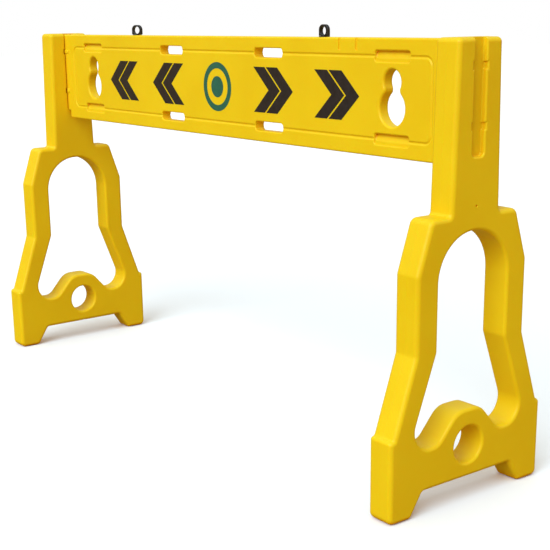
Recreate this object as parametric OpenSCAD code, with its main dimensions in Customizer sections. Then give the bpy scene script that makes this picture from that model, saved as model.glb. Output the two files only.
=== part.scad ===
// Plastic panel barricade: one blow-moulded board whose ends drop into slots in two bell-shaped legs,
// two swivel eyes on its top edge and printed marks on both faces.
// +X runs along the board, -Y is its front, +Z is up. The origin is on the floor, midway between the legs.

/* [Overall] */
// Length over the outer faces of the legs
span = 1836; // [1400:1:2400]
// Height of the posts above the floor
height = 1000; // [830:1:1300]
// Depth of each leg's foot, front to back
foot_w = 468; // [390:1:600]
// Wall of the blow-moulded shells
wall = 4; // [2.5:0.1:5]

/* [Leg] */
// Thickness of a leg, along the board
leg_t = 68; // [54:1:90]
// Length of the post above the shoulders
post_h = 358; // [320:1:440]
// Depth of the post where it meets the shoulders
post_w = 147; // [120:1:175]
// Depth of the post at its top
post_top_w = 129; // [95:1:142]
// Depth across the shoulders' upper corners
shoulder_w = 256; // [220:1:310]
// Height of the sloping shoulders
shoulder_h = 113; // [90:1:140]
// Height of the foot blocks, up to the small step
foot_h = 190; // [170:1:220]
// Step from the foot block in to the sloping side
foot_step = 11; // [6:1:18]
// Width of the side bands around the bell opening
band = 63; // [46:1:70]
// Space under the cross rail
rail_z = 54; // [40:1:70]
// Length of the foot pad at the floor
pad_w = 64; // [50:1:78]

/* [Bell opening] */
// Width of the bell opening between its upright sides
bell_w = 205; // [180:1:250]
// Material above the crown of the bell
crown = 35; // [25:1:45]
// Height of the two lobes' lowest points
lobe_z = 149; // [135:1:160]
// Height of the hump between the lobes
hump_z = 214; // [205:1:230]
// Diameter of the round hole through the hump
hole_d = 86; // [70:1:92]
// Height of the round hole's centre
hole_z = 131; // [125:1:135]

/* [Slot] */
// Gap between the board and each side of the slot
slot_gap = 2.5; // [1.5:0.1:4]
// Depth of the board slots
slot_depth = 12; // [8:0.5:15]
// How far the board's lower edge hangs below the slots
board_hang = 23; // [12:1:30]
// How far the slot widens at each notch, per side
notch = 3.5; // [2:0.5:6]
// Height of a notch
notch_h = 15; // [10:1:20]

/* [Board] */
// Thickness of the board
board_t = 30; // [25:0.5:31]
// Height of the board
board_h = 260; // [240:1:312]
// Drop from the top of the post to the top of the board
board_drop = 3; // [2:0.5:8]
// Length of the tongue at each end of the board, from its shoulder to its tip
tongue = 23; // [18:1:32]
// Gap between the tongue's tip and the slot's floor
tip_gap = 1; // [0.5:0.1:2]
// Gap between the guide nubs and the slot's sides
nub_gap = 0.3; // [0.2:0.1:0.8]

/* [Board cut-outs] */
// Distance of the long slots from the middle
grip_x = 223; // [190:1:260]
// Width of the long slots
grip_w = 114; // [95:1:130]
// Height of the long slots
grip_h = 23; // [19:1:27]
// Distance of the end cut-outs and pockets from the tongue's shoulder
keyhole_inset = 167; // [150:1:200]
// Diameter of the keyhole's upper lobe
keyhole_top_d = 54; // [45:1:60]
// Diameter of the keyhole's lower lobe
keyhole_low_d = 80; // [66:1:90]
// Width of the keyhole's neck
keyhole_neck = 46; // [35:1:50]
// Depth of the blind pockets
pocket_depth = 10; // [8:0.5:11]
// Depth of the ledge at the bottom of each pocket
ledge_depth = 4; // [3:0.5:5]
// Width of the moulded groove
groove_w = 8; // [5:0.5:10]
// Depth of the moulded groove
groove_depth = 2.5; // [1.5:0.1:3.5]

/* [Eyes] */
// Distance of each eye from the middle
eye_x = 424; // [360:1:460]
// Diameter of the hole in the eye
eye_hole_d = 21; // [18:0.5:24]
// Width of the eye
eye_w = 33; // [31:0.5:40]
// Thickness of the eye
eye_t = 8; // [5:0.5:9]
// Turn of the left eye from the board's plane
left_eye_turn = 24; // [-90:1:90]

/* [Marks] */
// Height of a printed mark
mark_h = 112; // [90:1:130]
// Width of a printed mark
mark_w = 160; // [130:1:180]
// Outer diameter of the ring
ring_d = 127; // [100:1:140]
// Inner diameter of the ring
ring_hole_d = 95; // [70:1:98]
// Thickness of the vinyl
vinyl_t = 0.3; // [0.2:0.1:0.6]

/* [Hidden] */

$fn = 64;
cut = 1;                        // how far a cutting solid runs past the face it cuts
arc_steps = 8;                  // segments in one rounded corner

yellow = [0.95, 0.78, 0.08];
black = [0.10, 0.10, 0.11];
green = [0.08, 0.36, 0.26];

// Leg levels
shoulder_z = height - post_h;
slope_z = shoulder_z - shoulder_h;
bend_z = (foot_h + slope_z) / 2;
arch_z = shoulder_z - crown - bell_w / 2;
slot_w = board_t + 2 * slot_gap;
slot_z = height - board_drop - board_h + board_hang;
slot_r = slot_gap;              // small enough to clear the tongue's square foot
notch_zs = [height - 56, height - 178];

// Leg half widths
leg_x = span / 2 - leg_t / 2;
post_y = post_w / 2;
hem_y = foot_w / 2 - foot_step;
body_y = bell_w / 2 + band;
lobe_y = hem_y - band + 3;
hump_y = (lobe_y - 89) / 2;
parting_d = 8;                  // small notch under the rail, on the mould's parting plane
vent_d = 6;
vent_z = shoulder_z + 17;

// Board
board_z = height - board_drop;
board_low_z = board_z - board_h;
board_mid_z = board_z - board_h / 2;
tip_x = span / 2 - leg_t + slot_depth - tip_gap;
board_x = tip_x - tongue;
nub = slot_gap - nub_gap;
keyhole_x = board_x - keyhole_inset;
keyhole_low_z = board_mid_z - 21;
keyhole_top_z = board_mid_z + 36;
band_z = board_h / 2 - 39.5;    // moulded groove above and below the board's middle
groove_x = board_x - 43;
groove_r = 20;
grip_r = 9;
pocket_w = 112;
pocket_h = 25;
pocket_r = 7;
tick_xs = [keyhole_x - 176, keyhole_x - 117];
tick_h = 29;

// Eye and its bush
seat_t = 1.4;                   // flange of the bush, on the board's top
spin_gap = 0.3;                 // above and below the bush, for the eye to turn
stem_gap = 0.1;                 // around the eye's stem
stem_r = 5;
bush_r = 7.5;
bush_h = 12;
head_r = 6.5;
head_h = 4;
eye_z = board_z + seat_t + spin_gap;
head_z = board_z - bush_h - spin_gap - head_h;
eye_hole_z = eye_z + eye_hole_d / 2 + 1.5;
eye_top_z = eye_hole_z + eye_hole_d / 2 + 4;
eye_r = 13;                     // rounding of the eye's upper corners
eye_rim = 1;                    // raised rim around the hole, per face
mark_x = keyhole_x - 186;       // outer marks; the inner ones are halfway to them
mark_xs = [-mark_x, -mark_x / 2, mark_x / 2, mark_x];
chevron = 46;                   // stroke of a chevron, measured along the board

// Rounded outlines ------------------------------------------------------------------------------------

function unit(v) = v / norm(v);
function left_normal(v) = [-v.y, v.x];
function mirrored(half) = concat(half, [for (i = [len(half) - 1:-1:0]) [-half[i].x, half[i].y, half[i].z]]);
function xy(p) = [p.x, p.y];

// An arc of radius r that rounds the corner b between a and c, limited by its two edges
function corner_arc(a, b, c, r) =
    let (
        u = unit(a - b),
        v = unit(c - b),
        half = acos(max(-1, min(1, u * v))) / 2,
        reach = min(norm(a - b), norm(c - b)) / 2,
        radius = min(r, reach * tan(half)),
        centre = b + unit(u + v) * radius / sin(half),
        start = b + u * radius / tan(half) - centre,
        turn = (180 - 2 * half) * sign(cross(b - a, c - b))
    )
    r <= 0 ? [b] : [
        for (i = [0:arc_steps])
            let (t = turn * i / arc_steps)
            centre + [start.x * cos(t) - start.y * sin(t), start.x * sin(t) + start.y * cos(t)]
    ];

// The outline of corners [x, y, radius], counter-clockwise
function rounded(corners) = [
    for (i = [0:len(corners) - 1])
        let (n = len(corners), a = corners[(i + n - 1) % n], b = corners[i], c = corners[(i + 1) % n])
        each corner_arc(xy(a), xy(b), xy(c), b.z)
];

// The same corners with every edge moved in by w, or out if w is negative
function inset(corners, w) = [
    for (i = [0:len(corners) - 1])
        let (
            n = len(corners),
            b = xy(corners[i]),
            before = unit(b - xy(corners[(i + n - 1) % n])),
            after = unit(xy(corners[(i + 1) % n]) - b),
            p = left_normal(before),
            q = left_normal(after),
            moved = b + w * (p + q) / (1 + p * q),
            r = corners[i].z
        )
        [moved.x, moved.y, r > 0 ? max(0.5, r - w * sign(cross(before, after))) : 0]
];

// A rounded box centred on [x, z]
function slab(x, z, w, h, r) = [
    [x + w / 2, z - h / 2, r],
    [x + w / 2, z + h / 2, r],
    [x - w / 2, z + h / 2, r],
    [x - w / 2, z - h / 2, r]
];

module flat(corners) {
    polygon(rounded(corners));
}

// Draws a flat shape in the Y-Z plane, t thick, centred on x
module across(x, t) {
    translate([x - t / 2, 0, 0]) rotate([90, 0, 90]) linear_extrude(t) children();
}

// Draws a flat shape in the X-Z plane, t thick, centred on y
module along(y, t) {
    translate([0, y + t / 2, 0]) rotate([90, 0, 0]) linear_extrude(t) children();
}

// Legs ------------------------------------------------------------------------------------------------

leg_corners = mirrored([
    [foot_w / 2 - pad_w - 35, rail_z, 10],
    [foot_w / 2 - pad_w, 0, 12],
    [foot_w / 2, 0, 14],
    [foot_w / 2, foot_h - 4, 6],
    [hem_y, foot_h, 3],
    [body_y, bend_z, 20],
    [body_y, slope_z, 20],
    [shoulder_w / 2, shoulder_z, 14],
    [post_y, shoulder_z, 6],
    [post_top_w / 2, height, 6]
]);

// The bell below its arch: a hump between two round lobes, then sides that slope in to the bend
bell_corners = mirrored([
    [hump_y, hump_z, 50],
    [hump_y + 58, lobe_z, 35],
    [lobe_y - 24, lobe_z, 45],
    [lobe_y + 3, lobe_z + 39, 45],
    [bell_w / 2, bend_z, 20],
    [bell_w / 2, arch_z, 0]
]);

module bell(grow) {
    flat(inset(bell_corners, -grow));
    translate([0, arch_z]) circle(r = bell_w / 2 + grow, $fn = 96);
}

// The slot for the board's tongue with its two notches, open at the top
module slot_shape(grow) {
    flat(inset([
        [slot_w / 2, slot_z, slot_r],
        [slot_w / 2, height + cut + wall, 0],
        [-slot_w / 2, height + cut + wall, 0],
        [-slot_w / 2, slot_z, slot_r]
    ], -grow));
    for (z = notch_zs)
        flat(inset(slab(0, z, slot_w + 2 * notch, notch_h, 3), -grow));
}

module leg_slots(side, grow) {
    for (face = [-1, 1])
        across(side * leg_x + face * leg_t / 2, 2 * (slot_depth + grow)) slot_shape(grow);
}

module leg(side) {
    x = side * leg_x;
    color(yellow)
    difference() {
        across(x, leg_t) difference() {
            flat(leg_corners);
            bell(0);
        }
        // cavity of the moulding, with walls left around the bell, the hole and the slots
        difference() {
            across(x, leg_t - 2 * wall) difference() {
                flat(inset(leg_corners, wall));
                bell(wall);
            }
            translate([x, 0, hole_z]) rotate([0, 90, 0])
                cylinder(h = leg_t, d = hole_d + 2 * wall, center = true);
            leg_slots(side, wall);
        }
        leg_slots(side, 0);
        translate([x, 0, hole_z]) rotate([0, 90, 0])
            cylinder(h = leg_t + 2 * cut, d = hole_d, center = true);
        translate([x, 0, rail_z]) rotate([0, 90, 0])
            cylinder(h = leg_t + 2 * cut, d = parting_d, center = true);
        // blow-pin vent through the outer wall
        translate([side * (span / 2 - wall - cut), 0, vent_z]) rotate([0, side * 90, 0])
            cylinder(h = wall + 2 * cut, d = vent_d);
    }
}

module left_leg() {
    leg(-1);
}

module right_leg() {
    leg(1);
}

// Board -----------------------------------------------------------------------------------------------

// Body with a tongue at each end; the tongue's foot rests on the floor of the slot
board_corners = mirrored([
    [board_x, board_low_z, 7],
    [board_x, slot_z, 2],
    [tip_x, slot_z, 6],
    [tip_x, board_z, 6]
]);

module keyhole(x, grow) {
    translate([x, keyhole_low_z]) circle(d = keyhole_low_d + 2 * grow);
    translate([x, keyhole_top_z]) circle(d = keyhole_top_d + 2 * grow);
    translate([x - keyhole_neck / 2 - grow, keyhole_low_z])
        square([keyhole_neck + 2 * grow, keyhole_top_z - keyhole_low_z]);
}

module through_cuts(grow) {
    for (side = [-1, 1]) {
        keyhole(side * keyhole_x, grow);
        for (row = [-1, 1])
            flat(inset(slab(side * grip_x, board_mid_z + row * band_z, grip_w, grip_h, grip_r), -grow));
    }
}

// Finger pockets: deep in their upper half, with a ledge below
module pockets(grow) {
    for (side = [-1, 1], row = [-1, 1], face = [-1, 1]) {
        x = side * keyhole_x;
        z = board_mid_z + row * band_z;
        along(face * board_t / 2, 2 * (ledge_depth + grow))
            flat(inset(slab(x, z, pocket_w, pocket_h, pocket_r), -grow));
        along(face * board_t / 2, 2 * (pocket_depth + grow))
            flat(inset(slab(x, z + pocket_h / 4, pocket_w, pocket_h / 2, pocket_h / 4 - 0.5), -grow));
    }
}

module grooves(grow) {
    frame = slab(0, board_mid_z, 2 * groove_x, 2 * band_z, groove_r);
    for (face = [-1, 1])
        along(face * board_t / 2, 2 * (groove_depth + grow)) difference() {
            flat(inset(frame, -groove_w / 2 - grow));
            flat(inset(frame, groove_w / 2 + grow));
        }
    for (x = tick_xs)
        translate([x - groove_w / 2 - grow, -board_t / 2 - cut, board_z - tick_h - grow])
            cube([groove_w + 2 * grow, groove_depth + grow + cut, tick_h + grow + cut]);
}

// Guide nubs on both faces of each tongue: a short rib above a round one
module nubs() {
    for (side = [-1, 1])
        along(0, board_t + 2 * nub) {
            flat(slab(side * (tip_x - 13), notch_zs[0], 22, 9, 4));
            translate([side * (tip_x - 13), notch_zs[1]]) circle(d = 12);
        }
}

module board() {
    color(yellow)
    difference() {
        union() {
            difference() {
                along(0, board_t) difference() {
                    flat(board_corners);
                    through_cuts(0);
                }
                difference() {
                    along(0, board_t - 2 * wall) difference() {
                        flat(inset(board_corners, wall));
                        through_cuts(wall);
                    }
                    pockets(wall);
                    grooves(wall);
                }
            }
            nubs();
        }
        pockets(0);
        grooves(0);
        for (side = [-1, 1])
            translate([side * eye_x, 0, board_z - wall - cut]) cylinder(h = wall + 2 * cut, r = bush_r);
    }
}

// Eyes ------------------------------------------------------------------------------------------------

// Nylon bush pressed into the board's top wall; its flange rests on the board
module eye_bush(side) {
    color(black)
    translate([side * eye_x, 0, 0]) difference() {
        union() {
            translate([0, 0, board_z]) cylinder(h = seat_t, r = board_t / 2 - 2);
            translate([0, 0, board_z - bush_h]) cylinder(h = bush_h + seat_t, r = bush_r);
        }
        translate([0, 0, board_z - bush_h - cut])
            cylinder(h = bush_h + seat_t + 2 * cut, r = stem_r + stem_gap);
    }
}

// Eye plate on a round stem, held under the bush by its snap head
module eye(side, turn) {
    color(black)
    translate([side * eye_x, 0, 0]) rotate([0, 0, turn]) {
        difference() {
            union() {
                along(0, eye_t) flat(mirrored([
                    [eye_w / 2, eye_z, 0],
                    [eye_w / 2, eye_top_z, eye_r]
                ]));
                along(0, eye_t + 2 * eye_rim) translate([0, eye_hole_z]) circle(d = eye_hole_d + 3);
            }
            translate([0, 0, eye_hole_z]) rotate([90, 0, 0])
                cylinder(h = eye_t + 2 * eye_rim + 2 * cut, d = eye_hole_d, center = true);
        }
        translate([0, 0, head_z]) cylinder(h = eye_z + eye_rim - head_z, r = stem_r);
        translate([0, 0, head_z]) cylinder(h = head_h, r = head_r);
    }
}

module left_eye() {
    eye(-1, left_eye_turn);
}

module right_eye() {
    eye(1, 0);
}

module left_eye_bush() {
    eye_bush(-1);
}

module right_eye_bush() {
    eye_bush(1);
}

// Marks -----------------------------------------------------------------------------------------------

// A vinyl shape on the board's face: face is -1 at the front and 1 at the back
module vinyl(face, hue) {
    color(hue) along(face * (board_t + vinyl_t) / 2, vinyl_t) children();
}

// Two chevrons that point away from the middle
module mark(face, index) {
    x = mark_xs[index];
    out = sign(x);
    point = mark_w - 2 * chevron - 6;
    vinyl(face, black)
        for (i = [0, 1])
            translate([x + out * (i * (chevron + 6) - mark_w / 2), board_mid_z])
                polygon([
                    [0, -mark_h / 2],
                    [out * chevron, -mark_h / 2],
                    [out * (chevron + point), 0],
                    [out * chevron, mark_h / 2],
                    [0, mark_h / 2],
                    [out * point, 0]
                ]);
}

module ring(face) {
    vinyl(face, green) translate([0, board_mid_z]) difference() {
        circle(d = ring_d);
        circle(d = ring_hole_d);
    }
}

module dot(face) {
    vinyl(face, green) translate([0, board_mid_z]) circle(d = ring_hole_d - 40);
}

left_leg();
right_leg();
board();
left_eye();
right_eye();
left_eye_bush();
right_eye_bush();
mark(-1, 0);  // front_mark_1
mark(-1, 1);  // front_mark_2
mark(-1, 2);  // front_mark_3
mark(-1, 3);  // front_mark_4
ring(-1);  // front_ring
dot(-1);  // front_dot
mark(1, 0);  // back_mark_1
mark(1, 1);  // back_mark_2
mark(1, 2);  // back_mark_3
mark(1, 3);  // back_mark_4
ring(1);  // back_ring
dot(1);  // back_dot
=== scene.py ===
"""The looks of a plastic panel barricade: two blow-moulded legs, a board between them, and swivel eyes."""

import math

import bmesh
import bpy
from mathutils import Matrix, Vector


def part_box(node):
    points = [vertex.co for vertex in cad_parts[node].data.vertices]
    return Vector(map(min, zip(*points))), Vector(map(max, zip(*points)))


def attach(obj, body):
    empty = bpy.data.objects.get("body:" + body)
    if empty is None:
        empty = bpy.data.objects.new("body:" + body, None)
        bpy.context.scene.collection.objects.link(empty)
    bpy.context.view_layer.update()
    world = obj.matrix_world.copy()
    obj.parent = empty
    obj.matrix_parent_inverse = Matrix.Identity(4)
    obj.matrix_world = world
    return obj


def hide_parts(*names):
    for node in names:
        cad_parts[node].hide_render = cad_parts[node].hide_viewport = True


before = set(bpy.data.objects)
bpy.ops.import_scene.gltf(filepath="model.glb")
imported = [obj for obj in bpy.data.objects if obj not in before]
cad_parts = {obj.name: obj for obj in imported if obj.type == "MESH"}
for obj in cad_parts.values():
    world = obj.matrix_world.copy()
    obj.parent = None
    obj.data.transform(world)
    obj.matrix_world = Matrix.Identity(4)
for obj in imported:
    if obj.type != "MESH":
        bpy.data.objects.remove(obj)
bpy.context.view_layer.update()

MM = 0.001

# ---- Sizes in millimetres, from the CAD frame --------------------------------------------------------


def node_box(node):
    """The lowest and highest corners of a CAD node, in millimetres."""
    low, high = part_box(node)
    return low / MM, high / MM


leg_low, leg_high = node_box("right_leg")
board_low, board_high = node_box("board")
bush_high = node_box("right_eye_bush")[1]
eye_low, eye_high = node_box("right_eye")

# Legs
height = leg_high.z
leg_t = leg_high.x - leg_low.x
leg_x = (leg_low.x + leg_high.x) / 2
foot_y = leg_high.y
foot_h = 190
hem_y = foot_y - 11
pad_w = 64
rail_z = 54
shoulder_z = height - 358
slope_z = shoulder_z - 113
bend_z = (foot_h + slope_z) / 2
shoulder_y = 128
post_y = 73.5
post_top_y = 64.5
bell_y = 102.5
band = 63
body_y = bell_y + band
crown = 35
lobe_y = hem_y - band + 3
lobe_z = 149
hump_z = 214
hump_y = (lobe_y - 89) / 2
hole_z = 131
hole_r = 43
slot_y = 17.5
slot_depth = 12
slot_z = height - 240
slot_notches = (height - 178, height - 56)
vent_z = shoulder_z + 17

# Board
board_t = 30
board_edge_r = 4.5
tip_x = board_high.x
shoulder_x = tip_x - 23
board_z = board_high.z
board_mid_z = (board_low.z + board_high.z) / 2
row_z = (board_high.z - board_low.z) / 2 - 39.5
keyhole_x = shoulder_x - 167
keyhole_low_z = board_mid_z - 21
keyhole_high_z = board_mid_z + 36
keyhole_low_r, keyhole_high_r, keyhole_neck_r = 40, 27, 14
grip_x = 223
grip_w, grip_h, grip_r = 114, 23, 9
pocket_w, pocket_h, pocket_r, pocket_depth = 112, 25, 7, 10
groove_half_w, groove_depth, groove_r = 5, 2.6, 20
tick_w, tick_depth = 8, 3.2
groove_x = shoulder_x - 43
tick_xs = (keyhole_x - 176, keyhole_x - 117)
nub_x = tip_x - 17
nub_proud = 2.2

# Eyes
eye_x = (eye_low.x + eye_high.x) / 2
eye_w = eye_high.x - eye_low.x
eye_t = 8
ledge_depth = 4
eye_hole_r = 10.5
eye_z = bush_high.z + 0.3
eye_hole_z = eye_high.z - 14.5
left_eye_turn = 24

HORIZON = (0.62, 0.265, 0.010, 1)     # the surrounding light, level
ZENITH = (0.74, 0.90, 0.94, 1)        # and overhead

EDGE_R = 11          # rounding of a leg's long edges
RIDGE = 0.35         # height of the mould's parting line
STEP = 5             # degrees in one segment of a rounded corner
FILLET_STEPS = 7     # segments across a rounded edge


# ---- Outlines ----------------------------------------------------------------------------------------


def mirrored(half):
    """Corners (u, v, radius) up one side, and the same corners down the other."""
    return half + [(-u, v, r) for u, v, r in reversed(half)]


def slab(u, v, w, h, r):
    """The corners of a rounded rectangle centred on (u, v)."""
    return [(u + w / 2, v - h / 2, r), (u + w / 2, v + h / 2, r),
            (u - w / 2, v + h / 2, r), (u - w / 2, v - h / 2, r)]


def unit(v):
    return v / v.length


def outline(corners, grow=0.0):
    """Points of the rounded outline of counter-clockwise corners, with every edge moved out by grow.
    The number of points doesn't depend on grow, so that outlines of different grow can be lofted."""
    n = len(corners)
    flat = [Vector(c[:2]) for c in corners]
    moved, radii = [], []
    for i in range(n):
        before, after = unit(flat[i] - flat[i - 1]), unit(flat[(i + 1) % n] - flat[i])
        p, q = Vector((before.y, -before.x)), Vector((after.y, -after.x))
        moved.append(flat[i] + grow * (p + q) / (1 + p.dot(q)))
        bend = before.x * after.y - before.y * after.x
        r = corners[i][2]
        radii.append(max(0.4, r + grow * math.copysign(1, bend)) if r else 0)
    points = []
    for i in range(n):
        a, b, c = moved[i - 1], moved[i], moved[(i + 1) % n]
        u, v = unit(a - b), unit(c - b)
        turn = math.pi - u.angle(v)
        whole = math.pi - unit(flat[i - 1] - flat[i]).angle(unit(flat[(i + 1) % n] - flat[i]))
        steps = max(3, math.ceil(math.degrees(whole) / STEP)) if corners[i][2] else 0
        if not steps:
            points.append(b)
            continue
        half = (math.pi - turn) / 2
        reach = min((a - b).length, (c - b).length) * 0.499
        r = min(radii[i], reach * math.tan(half))
        centre = b + unit(u + v) * r / math.sin(half)
        start = b + u * r / math.tan(half) - centre
        side = math.copysign(1, (b - a).x * (c - b).y - (b - a).y * (c - b).x)
        for k in range(steps + 1):
            t = side * turn * k / steps
            points.append(centre + Vector((start.x * math.cos(t) - start.y * math.sin(t),
                                           start.x * math.sin(t) + start.y * math.cos(t))))
    return points


def ring_outline(u, v, r, grow=0.0, segments=72):
    """A circle."""
    return [Vector((u + (r + grow) * math.cos(a), v + (r + grow) * math.sin(a)))
            for a in (math.tau * k / segments for k in range(segments))]


def keyhole_outline(u, grow=0.0):
    """A small lobe over a large one, with the two corners of the neck between them rounded."""
    low = Vector((u, keyhole_low_z))
    high = Vector((u, keyhole_high_z))
    low_r, high_r, neck_r = keyhole_low_r + grow, keyhole_high_r + grow, keyhole_neck_r - grow
    gap = (high - low).length
    along = ((low_r + neck_r) ** 2 - (high_r + neck_r) ** 2 + gap * gap) / (2 * gap)
    out = math.sqrt((low_r + neck_r) ** 2 - along * along)
    neck = low + Vector((out, along))

    def arc(centre, r, start, end, steps):
        return [centre + Vector((r * math.cos(a), r * math.sin(a)))
                for a in (start + (end - start) * k / steps for k in range(steps + 1))]

    to_low = math.atan2(low.y - neck.y, low.x - neck.x)
    to_high = math.atan2(high.y - neck.y, high.x - neck.x)
    right = arc(low, low_r, -math.pi / 2, to_low + math.pi, 26)
    right += arc(neck, neck_r, to_low + math.tau, to_high + (math.tau if to_high < 0 else 0), 12)[1:]
    right += arc(high, high_r, math.atan2(neck.y - high.y, neck.x - high.x), math.pi / 2, 20)[1:]
    left = [Vector((2 * u - p.x, p.y)) for p in reversed(right[1:-1])]
    return right + left


# ---- Profiles through a thickness: (depth, grow) pairs ------------------------------------------------


def quarter(r, steps=FILLET_STEPS):
    """(along, across) of a quarter circle of radius r, from the face's tangent to the wall's."""
    angles = [math.pi / 2 * k / steps for k in range(steps + 1)]
    return [(r * (1 - math.cos(a)), r * (1 - math.sin(a))) for a in angles]


def body_profile(t, r):
    """Across a moulding t thick with rounded edges and the mould's fine parting ridge at its middle."""
    side = [(-t / 2 + d, -RIDGE - g) for d, g in quarter(r)]
    ridge = [(-1.1, -RIDGE), (-0.5, -0.08), (0, 0)]
    half = side + ridge
    return half + [(-d, g) for d, g in reversed(half[:-1])]


def through_profile(t, lip):
    """Across a hole through a moulding t thick, with rounded lips at both faces."""
    side = [(-t / 2 - 3, lip)] + [(-t / 2 + d, g) for d, g in quarter(lip)]
    return side + [(-d, g) for d, g in reversed(side)]


def blind_profile(depth, lip, floor_r):
    """Down into a recess from the face at depth 0: a rounded lip, a wall and a rounded floor."""
    top = [(-3, lip)] + quarter(lip)
    return top + [(depth - d, -g) for d, g in reversed(quarter(floor_r))]


# ---- Meshes ------------------------------------------------------------------------------------------


def across_x(x, side=1):
    """Maps (u, v, depth) to a point with u along Y, v along Z and depth along X from x, towards side."""
    return lambda u, v, d: Vector((x + side * d, u, v)) * MM


def across_y(y, side=1):
    """Maps (u, v, depth) to a point with u along X, v along Z and depth along Y from y, towards side."""
    return lambda u, v, d: Vector((u, y + side * d, v)) * MM


def loft(shape, profile, place, closed=False):
    """A solid whose rings are shape(grow), or shape(grow, depth), at each (depth, grow) of the profile."""
    bm = bmesh.new()
    rings = [[bm.verts.new(place(p.x, p.y, d)) for p in shape(g, d)] for d, g in profile]
    pairs = list(zip(rings, rings[1:]))
    if closed:
        pairs.append((rings[-1], rings[0]))
    else:
        bm.faces.new(rings[0])
        bm.faces.new(rings[-1])
    for a, b in pairs:
        for i in range(len(a)):
            bm.faces.new((a[i - 1], a[i], b[i], b[i - 1]))
    bmesh.ops.recalc_face_normals(bm, faces=bm.faces)
    return bm


def shape_of(corners):
    return lambda grow, depth: outline(corners, grow)


def circle_of(u, v, r):
    return lambda grow, depth: ring_outline(u, v, r, grow)


def to_object(name, bm):
    mesh = bpy.data.meshes.new(name)
    bm.to_mesh(mesh)
    bm.free()
    obj = bpy.data.objects.new(name, mesh)
    bpy.context.scene.collection.objects.link(obj)
    return obj


def combine(obj, cutters, operation="DIFFERENCE"):
    """Cuts each mesh away from obj, or joins it, and applies the result."""
    for bm in cutters:
        tool = to_object("tool", bm)
        cut = obj.modifiers.new("cut", "BOOLEAN")
        cut.operation, cut.solver, cut.object = operation, "EXACT", tool
        bpy.context.view_layer.update()
        made = bpy.data.meshes.new_from_object(obj.evaluated_get(bpy.context.evaluated_depsgraph_get()))
        obj.modifiers.clear()
        old = obj.data
        obj.data = made
        bpy.data.meshes.remove(old)
        bpy.data.objects.remove(tool)
    return obj


def finish_surface(obj, sharp=38):
    """Welds stray points, and shades the mesh smooth except at its sharp edges, with flat faces kept flat."""
    bm = bmesh.new()
    bm.from_mesh(obj.data)
    bmesh.ops.remove_doubles(bm, verts=bm.verts, dist=0.02 * MM)
    bmesh.ops.dissolve_degenerate(bm, edges=bm.edges, dist=0.01 * MM)
    bmesh.ops.recalc_face_normals(bm, faces=bm.faces)
    for f in bm.faces:
        f.smooth = True
    for e in bm.edges:
        e.smooth = len(e.link_faces) == 2 and e.calc_face_angle() < math.radians(sharp)
    bm.to_mesh(obj.data)
    bm.free()
    weighted = obj.modifiers.new("weighted", "WEIGHTED_NORMAL")
    weighted.keep_sharp = True
    weighted.weight = 80
    made = bpy.data.meshes.new_from_object(obj.evaluated_get(bpy.context.evaluated_depsgraph_get()))
    obj.modifiers.clear()
    obj.data = made
    return obj


# ---- Legs --------------------------------------------------------------------------------------------

leg_corners = mirrored([
    (foot_y - pad_w - 35, rail_z, 12),
    (foot_y - pad_w, 0, 12),
    (foot_y, 0, 16),
    (foot_y, foot_h - 4, 9),
    (hem_y, foot_h, 6),
    (body_y, bend_z, 24),
    (body_y, slope_z, 24),
    (shoulder_y, shoulder_z, 18),
    (post_y, shoulder_z, 8),
    (post_top_y, height, 11),
])

bell_corners = mirrored([
    (hump_y, hump_z, 50),
    (hump_y + 58, lobe_z, 35),
    (lobe_y - 24, lobe_z, 45),
    (lobe_y + 3, lobe_z + 39, 45),
    (bell_y, bend_z, 24),
    (bell_y, shoulder_z - crown, bell_y),
])


def slot_corners():
    """The board slot, open at the top, with two short notches in its sides."""
    side = [(slot_y, slot_z, 9)]
    for z in slot_notches:
        for du, dv in ((0, -7.5), (3.5, -7.5), (3.5, 7.5), (0, 7.5)):
            side.append((slot_y + du, z + dv, 2.2))
    side.append((slot_y, height + 20, 0))
    return mirrored(side)


def make_leg(name, side):
    """One leg. side is -1 for the left one and 1 for the right one; the vent is on the outer face."""
    x = side * leg_x
    leg = to_object(name, loft(shape_of(leg_corners), body_profile(leg_t, EDGE_R), across_x(x)))
    outer, inner = x + side * leg_t / 2, x - side * leg_t / 2
    slot = shape_of(slot_corners())
    cutters = [
        loft(shape_of(bell_corners), through_profile(leg_t, 8), across_x(x)),
        loft(circle_of(0, hole_z, hole_r), through_profile(leg_t, 7), across_x(x)),
        loft(slot, blind_profile(slot_depth, 4, 3), across_x(outer, -side)),
        loft(slot, blind_profile(slot_depth, 1.5, 3), across_x(inner, side)),
        loft(circle_of(0, vent_z, 2.6), blind_profile(6, 1, 0.5), across_x(outer, -side)),
        loft(circle_of(0, rail_z, 3.8), through_profile(leg_t, 1), across_x(x)),
    ]
    return finish_surface(combine(leg, cutters))


# ---- Board -------------------------------------------------------------------------------------------

board_corners = mirrored([
    (shoulder_x, board_low.z, 9),
    (shoulder_x, slot_z, 3),
    (tip_x, slot_z, 8),
    (tip_x, board_z, 8),
])


def pocket_shape(u, v):
    """A recess with a shallow ledge at the bottom, from which a sloping floor runs in under the top edge."""
    def shape(grow, depth):
        low, high = v - pocket_h / 2, v + pocket_h / 2
        if depth > ledge_depth:
            low += 7 + (depth - ledge_depth) * 1.9
        return outline(slab(u, (low + high) / 2, pocket_w, high - low, pocket_r), grow)
    return shape


def pocket_profile():
    """Down a pocket: a rounded lip, the ledge with its rounded corners, the sloping floor and its end."""
    lip = [(-3, 3.2)] + quarter(3.2)
    ledge = [(ledge_depth - 0.9, 0), (ledge_depth - 0.3, -0.3), (ledge_depth, -1.2)]
    floor = [(ledge_depth + 0.05, 0.4), (ledge_depth + 0.4, 0)]
    return lip + ledge + floor + [(pocket_depth - d, -g) for d, g in reversed(quarter(2.0))]


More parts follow.
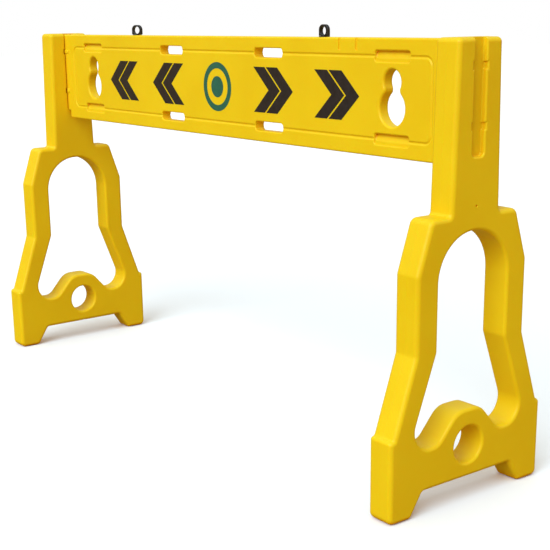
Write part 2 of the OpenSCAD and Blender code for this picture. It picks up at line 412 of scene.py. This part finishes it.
def groove_profile(half_w, depth):
    """Across a soft moulded groove, as a closed loop that starts and ends above the face."""
    steps = 10
    wave = [(depth * (1 + math.cos(math.pi * s)) / 2 - 0.02, half_w * s)
            for s in (-1 + 2 * k / steps for k in range(steps + 1))]
    return [(-3, -half_w)] + wave + [(-3, half_w)]


def tick_profile(depth):
    """Down into an index groove: steep walls with a small lip, and a rounded floor."""
    return [(-3, 0.5), (0, 0.5), (0.5, 0)] + [(depth - d, -g) for d, g in reversed(quarter(1.2, 4))]


def nub_profile():
    """A low dome on each face of the tongue, as one piece right through it."""
    t = board_t / 2
    dome = [(-t - nub_proud + d, -g) for d, g in quarter(nub_proud)]
    half = dome + [(-t + 1, 0)]
    return half + [(-d, g) for d, g in reversed(half)]


def make_board():
    """The board with its tongues and nubs, and every opening, recess and groove cut into it."""
    board = to_object("board_shell", loft(shape_of(board_corners), body_profile(board_t, board_edge_r),
                                          across_y(0)))
    nubs, cutters = [], []
    for side in (-1, 1):
        nubs.append(loft(shape_of(slab(side * nub_x, slot_notches[1], 26, 12, 6)), nub_profile(), across_y(0)))
        nubs.append(loft(circle_of(side * nub_x, slot_notches[0], 8), nub_profile(), across_y(0)))
        key = side * keyhole_x
        cutters.append(loft(lambda grow, depth, u=key: keyhole_outline(u, grow), through_profile(board_t, 6),
                            across_y(0)))
        for row in (-1, 1):
            z = board_mid_z + row * row_z
            grip = slab(side * grip_x, z, grip_w, grip_h, grip_r)
            cutters.append(loft(shape_of(grip), through_profile(board_t, 3.5), across_y(0)))
            for face in (-1, 1):
                cutters.append(loft(pocket_shape(key, z), pocket_profile(),
                                    across_y(face * board_t / 2, -face)))
        cutters.append(loft(circle_of(side * eye_x, 0, 7.5), [(-6, 0), (6, 0)],
                            lambda u, v, d: Vector((u, v, board_z + d)) * MM))
    frame_groove = slab(0, board_mid_z, 2 * groove_x, 2 * row_z, groove_r)
    for face in (-1, 1):
        cutters.append(loft(shape_of(frame_groove), groove_profile(groove_half_w, groove_depth),
                            across_y(face * board_t / 2, -face), closed=True))
    for u in tick_xs:
        tick = slab(u, board_z + 1, tick_w, 60, 3)      # runs out past the board's top edge
        cutters.append(loft(shape_of(tick), tick_profile(tick_depth), across_y(-board_t / 2, 1)))
    return finish_surface(combine(combine(board, nubs, "UNION"), cutters))


# ---- Eyes --------------------------------------------------------------------------------------------


def make_eye(name, side, turn):
    """A swivel eye: a round-topped plate with a thick rim, on a collar over its stem."""
    plate = mirrored([(eye_w / 2, eye_z, 0.6), (eye_w / 2, eye_high.z, 13)])
    edge = quarter(1.4, 4)
    side_profile = [(-eye_t / 2 + d, -g) for d, g in edge]
    plate_profile = side_profile + [(-d, g) for d, g in reversed(side_profile)]
    eye = to_object(name, loft(shape_of(plate), plate_profile, across_y(0)))
    rim_profile = [(-eye_t / 2 - 1 + d, -g) for d, g in quarter(1, 4)]
    rim_profile += [(-d, g) for d, g in reversed(rim_profile)]
    rim = loft(circle_of(0, eye_hole_z, eye_hole_r + 1.5), rim_profile, across_y(0))

    def upright(u, v, d):
        return Vector((u, v, d)) * MM

    stem = loft(circle_of(0, 0, 5), [(eye_z - 17, -0.6), (eye_z - 16.4, 0), (eye_z + 1, 0)], upright)
    foot = loft(circle_of(0, 0, 8), [(eye_z, 0), (eye_z + 1.4, 0), (eye_z + 2.4, -1.2)], upright)
    combine(eye, [rim, stem, foot], "UNION")
    combine(eye, [loft(circle_of(0, eye_hole_z, eye_hole_r), through_profile(eye_t + 2, 1), across_y(0))])
    finish_surface(eye)
    place = Matrix.Translation((side * eye_x * MM, 0, 0))
    eye.data.transform(place @ Matrix.Rotation(math.radians(turn), 4, "Z"))
    return eye


# ---- Materials ---------------------------------------------------------------------------------------


class Nodes:
    """Builds a material's node tree with short calls."""

    def __init__(self, name):
        self.material = bpy.data.materials.new(name)
        self.material.use_nodes = True
        self.tree = self.material.node_tree
        self.shader = self.tree.nodes["Principled BSDF"]

    def add(self, kind, values=None, **settings):
        node = self.tree.nodes.new(kind)
        for key, value in settings.items():
            setattr(node, key, value)
        for key, value in (values or {}).items():
            self.put(node.inputs[key], value)
        return node

    def put(self, socket, value):
        if isinstance(value, bpy.types.NodeSocket):
            self.tree.links.new(value, socket)
        else:
            socket.default_value = value

    def noise(self, scale, detail=4, roughness=0.5):
        where = self.add("ShaderNodeTexCoord").outputs["Object"]
        node = self.add("ShaderNodeTexNoise", {"Scale": scale, "Detail": detail, "Roughness": roughness,
                                               "Vector": where})
        return node.outputs["Fac"]

    def ramp(self, value, low, high, to_low=0.0, to_high=1.0):
        node = self.add("ShaderNodeMapRange", {0: value, 1: low, 2: high, 3: to_low, 4: to_high})
        return node.outputs[0]

    def mix(self, factor, a, b):
        node = self.add("ShaderNodeMix", data_type="RGBA")
        for index, value in ((0, factor), (6, a), (7, b)):
            self.put(node.inputs[index], value)
        return node.outputs[2]

    def bump(self, layers):
        """Stacks bumps of (height, distance in metres, strength)."""
        normal = None
        for height_of, distance, strength in layers:
            values = {"Height": height_of, "Distance": distance, "Strength": strength}
            if normal is not None:
                values["Normal"] = normal
            normal = self.add("ShaderNodeBump", values).outputs["Normal"]
        return normal


def moulded_polyethylene():
    """Yellow blow-moulded polyethylene: soft sheen, slightly wavy skin, fine grain, and painted warm orange
    shade in its recesses.
    """
    n = Nodes("yellow_polyethylene")
    cloud = n.noise(5.0, 3)
    mottle = n.noise(70.0, 5, 0.6)
    colour = n.mix(n.ramp(cloud, 0.35, 0.65), (0.83, 0.535, 0.007, 1), (0.87, 0.580, 0.009, 1))
    colour = n.mix(n.ramp(mottle, 0.62, 0.80, 0, 0.25), colour, (0.78, 0.490, 0.010, 1))
    # Painted shade: where ambient occlusion finds the surface hemmed in, the colour turns deep orange. This
    # stands in for light bounced around inside the recesses.
    open_sky = n.add("ShaderNodeAmbientOcclusion", {"Distance": 0.03}, samples=8).outputs["AO"]
    colour = n.mix(n.ramp(open_sky, 0.20, 0.70), (0.90, 0.42, 0.001, 1), colour)
    n.put(n.shader.inputs["Base Color"], colour)
    n.put(n.shader.inputs["Roughness"], n.ramp(n.noise(38.0, 6, 0.6), 0.3, 0.7, 0.34, 0.46))
    n.put(n.shader.inputs["Specular IOR Level"], 0.28)
    n.put(n.shader.inputs["Specular Tint"], (1.0, 0.95, 0.60, 1))
    n.put(n.shader.inputs["Subsurface Weight"], 0.25)
    n.put(n.shader.inputs["Subsurface Radius"], (1.0, 0.45, 0.05))
    n.put(n.shader.inputs["Subsurface Scale"], 0.012)
    n.put(n.shader.inputs["Normal"], n.bump([
        (n.noise(4.5, 2), 0.004, 0.35),
        (n.noise(26.0, 2), 0.0008, 0.25),
        (n.noise(700.0, 3), 0.0002, 0.30),
    ]))
    return n.material


def nylon():
    """Black moulded nylon with a fine matt grain."""
    n = Nodes("black_nylon")
    n.put(n.shader.inputs["Base Color"], n.mix(n.ramp(n.noise(300.0), 0.4, 0.7), (0.005, 0.005, 0.006, 1),
                                               (0.012, 0.012, 0.014, 1)))
    n.put(n.shader.inputs["Roughness"], n.ramp(n.noise(500.0), 0.3, 0.7, 0.32, 0.5))
    n.put(n.shader.inputs["Normal"], n.bump([(n.noise(1500.0, 2), 0.00005, 0.4)]))
    return n.material


def vinyl(name, dark, light):
    """Printed vinyl: an even ink layer with faint mottling and a soft gloss."""
    n = Nodes(name)
    n.put(n.shader.inputs["Base Color"], n.mix(n.ramp(n.noise(60.0, 6, 0.65), 0.35, 0.75), dark, light))
    n.put(n.shader.inputs["Roughness"], n.ramp(n.noise(90.0), 0.3, 0.7, 0.36, 0.5))
    n.put(n.shader.inputs["Specular IOR Level"], 0.30)
    n.put(n.shader.inputs["Normal"], n.bump([
        (n.noise(26.0, 2), 0.0006, 0.3),
        (n.noise(1200.0, 2), 0.00005, 0.3),
    ]))
    return n.material


def floor_material():
    """Pale to the camera, and darker and warmer in the light that it throws back up."""
    n = Nodes("studio_floor")
    pale = n.mix(n.noise(2.0), (0.98, 0.95, 0.95, 1), (1.0, 0.97, 0.97, 1))
    seen = n.add("ShaderNodeLightPath").outputs["Is Camera Ray"]
    n.put(n.shader.inputs["Base Color"], n.mix(seen, (0.36, 0.24, 0.04, 1), pale))
    n.put(n.shader.inputs["Specular IOR Level"], 0.0)
    n.put(n.shader.inputs["Roughness"], n.ramp(n.noise(30.0), 0.3, 0.7, 0.6, 0.7))
    return n.material


# ---- The object --------------------------------------------------------------------------------------


def use(obj, material):
    """Gives obj its only material, and the record's slot for it."""
    obj.data.materials.clear()
    obj.data.materials.append(material)


def add_piece(obj, body, node, material):
    """A new piece that rides on body and stands for a CAD node."""
    use(obj, material)
    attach(obj, body)
    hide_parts(node)


polyethylene = moulded_polyethylene()
black_nylon = nylon()
black_ink = vinyl("black_vinyl", (0.012, 0.009, 0.012, 1), (0.024, 0.019, 0.023, 1))
green_ink = vinyl("green_vinyl", (0.012, 0.105, 0.072, 1), (0.020, 0.140, 0.096, 1))

add_piece(make_leg("left_leg_shell", -1), "left_stand", "left_leg", polyethylene)
add_piece(make_leg("right_leg_shell", 1), "right_stand", "right_leg", polyethylene)
add_piece(make_board(), "panel", "board", polyethylene)
add_piece(make_eye("left_eye_plate", -1, left_eye_turn), "left_swivel", "left_eye", black_nylon)
add_piece(make_eye("right_eye_plate", 1, 0), "right_swivel", "right_eye", black_nylon)

for name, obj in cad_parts.items():
    if name.endswith("bush"):
        use(obj, black_nylon)
    elif "_mark_" in name:
        use(obj, black_ink)
    elif name.endswith(("_ring", "_dot")):
        use(obj, green_ink)


# ---- Stage, light and camera -------------------------------------------------------------------------


def make_floor():
    bpy.ops.mesh.primitive_plane_add(size=60)
    floor = bpy.context.object
    floor.name = "floor"
    floor.data.materials.append(floor_material())


def make_world():
    """The camera sees it white. As light it is a dome, warm all round and neutral overhead."""
    world = bpy.data.worlds.new("studio")
    bpy.context.scene.world = world
    world.use_nodes = True
    nodes, link = world.node_tree.nodes, world.node_tree.links.new
    dome = nodes["Background"]
    where = nodes.new("ShaderNodeTexCoord")
    axes = nodes.new("ShaderNodeSeparateXYZ")
    rise = nodes.new("ShaderNodeMapRange")
    rise.inputs[1].default_value, rise.inputs[2].default_value = -0.1, 0.9
    sky = nodes.new("ShaderNodeMix")
    sky.data_type = "RGBA"
    sky.inputs[6].default_value, sky.inputs[7].default_value = HORIZON, ZENITH
    white = nodes.new("ShaderNodeBackground")
    white.inputs["Color"].default_value = (1, 1, 1, 1)
    path = nodes.new("ShaderNodeLightPath")
    mix = nodes.new("ShaderNodeMixShader")
    link(where.outputs["Generated"], axes.inputs[0])
    link(axes.outputs["Z"], rise.inputs[0])
    link(rise.outputs[0], sky.inputs[0])
    link(sky.outputs[2], dome.inputs["Color"])
    link(path.outputs["Is Camera Ray"], mix.inputs[0])
    link(dome.outputs[0], mix.inputs[1])
    link(white.outputs[0], mix.inputs[2])
    link(mix.outputs[0], nodes["World Output"].inputs["Surface"])


def soft_sun(name, direction, strength, spread, colour=(1, 1, 1)):
    """A distant light from direction whose disc is spread degrees wide, like a large softbox far away."""
    data = bpy.data.lights.new(name, "SUN")
    data.energy = strength
    data.angle = math.radians(spread)
    data.color = colour
    light = bpy.data.objects.new(name, data)
    bpy.context.scene.collection.objects.link(light)
    light.rotation_mode = "QUATERNION"
    light.rotation_quaternion = (-Vector(direction)).to_track_quat("-Z", "Y")


def make_camera():
    """At the front right, a little above the board's top edge."""
    data = bpy.data.cameras.new("camera")
    data.sensor_width = 36
    data.lens = 74.88
    data.shift_y = 0.0912
    camera = bpy.data.objects.new("camera", data)
    bpy.context.scene.collection.objects.link(camera)
    yaw, pitch, roll = 0.92213, -0.26337, -0.01265
    camera.location = (2.54125, -1.76027, 1.04359)
    camera.rotation_mode = "QUATERNION"
    turn = Matrix.Rotation(yaw, 3, "Z") @ Matrix.Rotation(math.pi / 2 + pitch, 3, "X")
    camera.rotation_quaternion = (turn @ Matrix.Rotation(roll, 3, "Z")).to_quaternion()
    bpy.context.scene.camera = camera


make_floor()
make_world()
soft_sun("key", (0.30, -0.80, 0.62), 2.44, 45, (0.83, 1.04, 1.20))
make_camera()
bpy.context.scene.view_settings.view_transform = "Standard"
